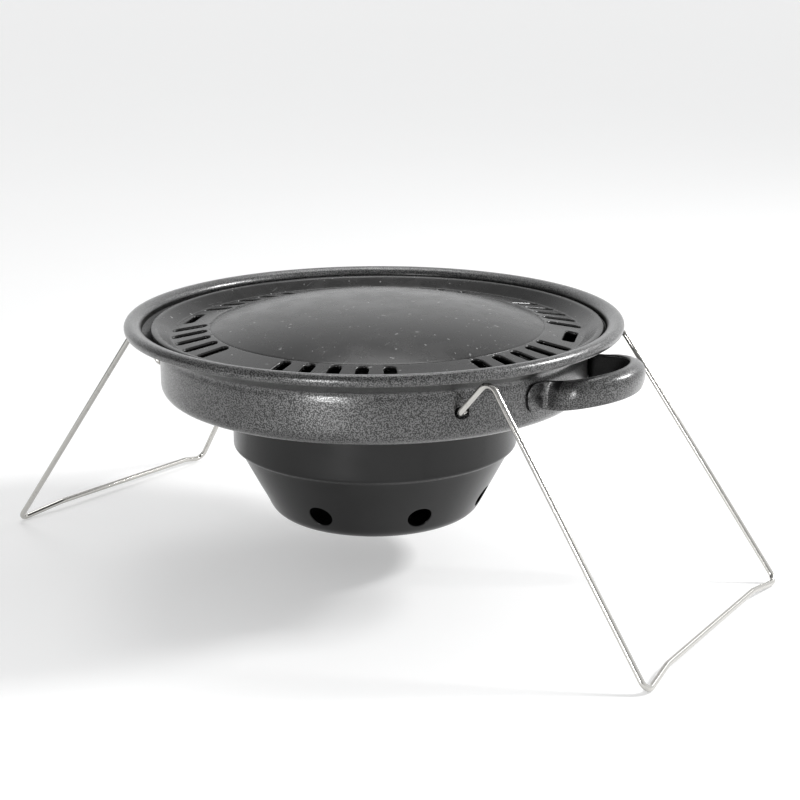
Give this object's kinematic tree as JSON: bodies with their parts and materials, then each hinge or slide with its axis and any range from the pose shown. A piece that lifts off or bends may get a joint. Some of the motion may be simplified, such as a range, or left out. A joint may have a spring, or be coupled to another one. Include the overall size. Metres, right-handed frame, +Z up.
{
  "type": "portable tabletop grill",
  "caption": "Round tabletop charcoal grill with a domed slotted plate, a water pan with strap handles, a drop-in charcoal bowl and folding wire legs.",
  "frame": {"origin": "on the table, under the upright axis of the pan, at the level of the leg wires' undersides", "axes": "+X to the right leg, +Y to the back, +Z up along the axis of the pan"},
  "size_m": [0.54, 0.35, 0.1878],
  "materials": {
    "hammertone_paint": "dark grey hammertone paint with a fine light speckle",
    "nonstick_plate": "satin black non-stick coating on a cast plate",
    "bowl_coating": "smooth satin black heat-resistant coating",
    "grate_wire": "plain drawn steel wire",
    "polished_wire": "bright polished steel wire"
  },
  "bodies": {
    "pan": {"pan_body": "hammertone_paint", "handle_right": "hammertone_paint", "handle_left": "hammertone_paint"},
    "bowl": {"charcoal_bowl": "bowl_coating"},
    "grate": {"grate_ring": "grate_wire", "grate_bar_1": "grate_wire", "grate_bar_2": "grate_wire", "grate_bar_3": "grate_wire", "grate_bar_4": "grate_wire", "grate_bar_5": "grate_wire", "grate_bar_6": "grate_wire", "grate_bar_7": "grate_wire", "grate_bar_8": "grate_wire", "grate_bar_9": "grate_wire", "grate_cross_bar_front": "grate_wire", "grate_cross_bar_back": "grate_wire"},
    "plate": {"grill_plate": "nonstick_plate"},
    "right_leg": {"leg_right": "polished_wire"},
    "left_leg": {"leg_left": "polished_wire"}
  },
  "joints": [
    {"name": "right_leg_fold", "type": "hinge", "parent": "pan", "child": "right_leg", "pos_m": [0.12568, 0, 0.147], "axis": [0, 1, 0], "range_deg": [0, 94]},
    {"name": "left_leg_fold", "type": "hinge", "parent": "pan", "child": "left_leg", "pos_m": [-0.1286, 0, 0.143], "axis": [0, -1, 0], "range_deg": [0, 94]},
    {"name": "bowl_lift", "type": "slide", "parent": "pan", "child": "bowl", "axis": [0, 0, 1], "range_m": [0, 0.12]},
    {"name": "grate_lift", "type": "slide", "parent": "bowl", "child": "grate", "axis": [0, 0, 1], "range_m": [0, 0.08]},
    {"name": "plate_lift", "type": "slide", "parent": "bowl", "child": "plate", "axis": [0, 0, 1], "range_m": [0, 0.08]}
  ]
}
